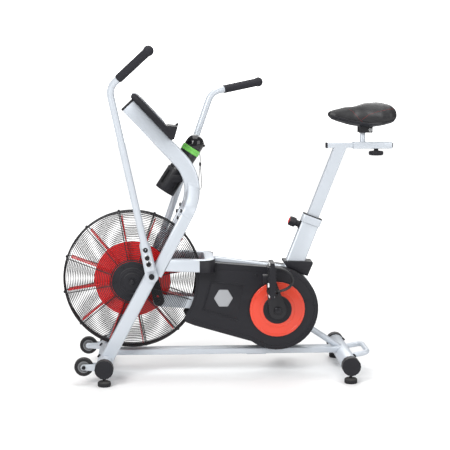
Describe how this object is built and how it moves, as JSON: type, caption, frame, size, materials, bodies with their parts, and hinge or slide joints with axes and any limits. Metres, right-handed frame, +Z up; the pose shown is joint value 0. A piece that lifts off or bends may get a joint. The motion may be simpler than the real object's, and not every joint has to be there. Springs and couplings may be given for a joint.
{
  "type": "air bike",
  "caption": "Upright air bike with a fan in a wire guard, swinging lever handlebars, pedals, an adjustable saddle, a console and a drink bottle.",
  "frame": {"origin": "on the floor, under the middle of the bike's length and width", "axes": "+X towards the saddle, so the rider faces -X; +Y to the rider's right; +Z up"},
  "size_m": [1.31, 0.655, 1.28],
  "materials": {
    "silver_paint": "satin silver-grey powder coat",
    "black_plastic": "fine-grained black moulding",
    "shroud_plastic": "blue-black textured moulding",
    "black_steel": "semi-gloss black coat",
    "red_paint": "gloss red paint",
    "orange_plastic": "gloss orange-red",
    "rubber": "matt black rubber",
    "foam": "matt closed-cell foam",
    "saddle_leather": "black grained vinyl",
    "bottle_plastic": "gloss black",
    "zinc_steel": "zinc plated"
  },
  "bodies": {
    "frame": {"front_stabiliser": "silver_paint", "rear_stabiliser": "silver_paint", "end_cap_front_left": "black_plastic", "end_cap_front_right": "black_plastic", "end_cap_rear_left": "black_plastic", "end_cap_rear_right": "black_plastic", "base_tube": "silver_paint", "front_post_left": "silver_paint", "front_post_right": "silver_paint", "mast_leg_left": "silver_paint", "mast_leg_right": "silver_paint", "side_rails": "silver_paint", "mast": "silver_paint", "console": "black_plastic", "bottle_cage": "black_plastic", "fan_axle": "zinc_steel", "fan_guard_left": "black_steel", "fan_guard_right": "black_steel", "hub_plate_left": "black_plastic", "hub_plate_right": "black_plastic", "drive_belt": "rubber", "shroud_left": "shroud_plastic", "shroud_right": "shroud_plastic", "seat_frame": "silver_paint", "seat_tube_boot": "black_plastic", "seat_tube_sleeve": "black_plastic"},
    "fan_body": {"fan": "red_paint", "fan_pulley": "black_steel"},
    "crankset": {"crank_axle": "zinc_steel", "crank_pulley": "black_steel", "eccentric_left": "black_steel", "crank_disc_left": "orange_plastic", "crank_disc_right": "orange_plastic", "crank_arm_left": "black_steel", "crank_arm_right": "black_steel"},
    "pedal_left_body": {"pedal_left": "black_plastic", "pedal_strap_left": "rubber"},
    "lever_left_body": {"lever_left": "silver_paint", "grip_left": "foam", "pivot_arm_left": "silver_paint"},
    "push_rod_left_body": {"push_rod_left": "silver_paint"},
    "transport_wheel_left_body": {"transport_wheel_left": "rubber"},
    "foot_front_left_body": {"foot_front_left": "rubber"},
    "foot_rear_left_body": {"foot_rear_left": "rubber"},
    "pedal_right_body": {"pedal_right": "black_plastic", "pedal_strap_right": "rubber"},
    "lever_right_body": {"lever_right": "silver_paint", "grip_right": "foam", "pivot_arm_right": "silver_paint"},
    "push_rod_right_body": {"push_rod_right": "silver_paint"},
    "transport_wheel_right_body": {"transport_wheel_right": "rubber"},
    "foot_front_right_body": {"foot_front_right": "rubber"},
    "foot_rear_right_body": {"foot_rear_right": "rubber"},
    "seat_post_body": {"seat_post": "silver_paint"},
    "post_knob_body": {"post_knob": "black_plastic"},
    "seat_slider_body": {"seat_slider": "silver_paint"},
    "slider_knob_body": {"slider_knob": "black_plastic"},
    "saddle_body": {"saddle": "saddle_leather"},
    "bottle_body": {"bottle": "bottle_plastic"},
    "bottle_lid_body": {"bottle_lid": "bottle_plastic"}
  },
  "joints": [
    {"name": "foot_front_left_turn", "type": "hinge", "parent": "frame", "child": "foot_front_left_body", "pos_m": [-0.49, -0.218, 0], "axis": [0, 0, 1], "continuous": true},
    {"name": "foot_rear_left_turn", "type": "hinge", "parent": "frame", "child": "foot_rear_left_body", "pos_m": [0.451, -0.218, 0], "axis": [0, 0, 1], "continuous": true},
    {"name": "transport_wheel_left_spin", "type": "hinge", "parent": "frame", "child": "transport_wheel_left_body", "pos_m": [-0.568, -0.188, 0.07], "axis": [0, 1, 0], "continuous": true},
    {"name": "foot_front_right_turn", "type": "hinge", "parent": "frame", "child": "foot_front_right_body", "pos_m": [-0.49, 0.218, 0], "axis": [0, 0, 1], "continuous": true},
    {"name": "foot_rear_right_turn", "type": "hinge", "parent": "frame", "child": "foot_rear_right_body", "pos_m": [0.451, 0.218, 0], "axis": [0, 0, 1], "continuous": true},
    {"name": "transport_wheel_right_spin", "type": "hinge", "parent": "frame", "child": "transport_wheel_right_body", "pos_m": [-0.568, 0.188, 0.07], "axis": [0, 1, 0], "continuous": true},
    {"name": "crank", "type": "hinge", "parent": "frame", "child": "crankset", "pos_m": [0.18, 0, 0.263], "axis": [0, 1, 0], "continuous": true},
    {"name": "fan_spin", "type": "hinge", "parent": "frame", "child": "fan_body", "pos_m": [-0.383, 0, 0.378], "axis": [0, 1, 0], "continuous": true},
    {"name": "pedal_left_spin", "type": "hinge", "parent": "crankset", "child": "pedal_left_body", "pos_m": [0.14825, -0.175, 0.3963], "axis": [0, 1, 0], "continuous": true},
    {"name": "pedal_right_spin", "type": "hinge", "parent": "crankset", "child": "pedal_right_body", "pos_m": [0.21175, 0.175, 0.1297], "axis": [0, 1, 0], "continuous": true},
    {"name": "lever_left_swing", "type": "hinge", "parent": "frame", "child": "lever_left_body", "pos_m": [-0.308, -0.163, 0.407], "axis": [0, 1, 0], "range_deg": [-2, 33.5]},
    {"name": "lever_right_swing", "type": "hinge", "parent": "frame", "child": "lever_right_body", "pos_m": [-0.308, 0.163, 0.407], "axis": [0, 1, 0], "range_deg": [-33.5, 2]},
    {"name": "push_rod_left_pin", "type": "hinge", "parent": "lever_left_body", "child": "push_rod_left_body", "pos_m": [-0.28, -0.0515, 0.2976], "axis": [0, 1, 0], "range_deg": [-33.5, 2]},
    {"name": "push_rod_right_pin", "type": "hinge", "parent": "lever_right_body", "child": "push_rod_right_body", "pos_m": [-0.34129, 0.0515, 0.29909], "axis": [0, 1, 0], "range_deg": [-2, 33.5]},
    {"name": "seat_height", "type": "slide", "parent": "frame", "child": "seat_post_body", "axis": [0.3616, 0, 0.9323], "range_m": [-0.265, 0]},
    {"name": "post_knob_pull", "type": "slide", "parent": "frame", "child": "post_knob_body", "axis": [-0.9323, 0, 0.3616], "range_m": [0, 0.012], "stiffness_N_per_m": 1500},
    {"name": "seat_fore_aft", "type": "slide", "parent": "seat_post_body", "child": "seat_slider_body", "axis": [1, 0, 0], "range_m": [-0.018, 0.08]},
    {"name": "slider_knob_turn", "type": "hinge", "parent": "seat_slider_body", "child": "slider_knob_body", "pos_m": [0.573, 0, 0.87], "axis": [0, 0, 1], "continuous": true},
    {"name": "saddle_tilt", "type": "hinge", "parent": "seat_slider_body", "child": "saddle_body", "pos_m": [0.519, 0, 0.956], "axis": [0, 1, 0], "range_deg": [-12, 12]},
    {"name": "bottle_lift", "type": "slide", "parent": "frame", "child": "bottle_body", "axis": [0.5446, 0, 0.8387], "range_m": [0, 0.12]},
    {"name": "bottle_lid_turn", "type": "hinge", "parent": "bottle_body", "child": "bottle_lid_body", "pos_m": [-0.253, 0.075, 0.718], "axis": [0.5446, 0, 0.8387], "continuous": true}
  ],
  "couplings": [
    {"joint": "fan_spin", "follows": "crank", "ratio": 2.619},
    {"joint": "lever_right_swing", "follows": "lever_left_swing", "ratio": -1},
    {"joint": "push_rod_left_pin", "follows": "lever_left_swing", "ratio": -1},
    {"joint": "push_rod_right_pin", "follows": "lever_left_swing", "ratio": 1}
  ]
}
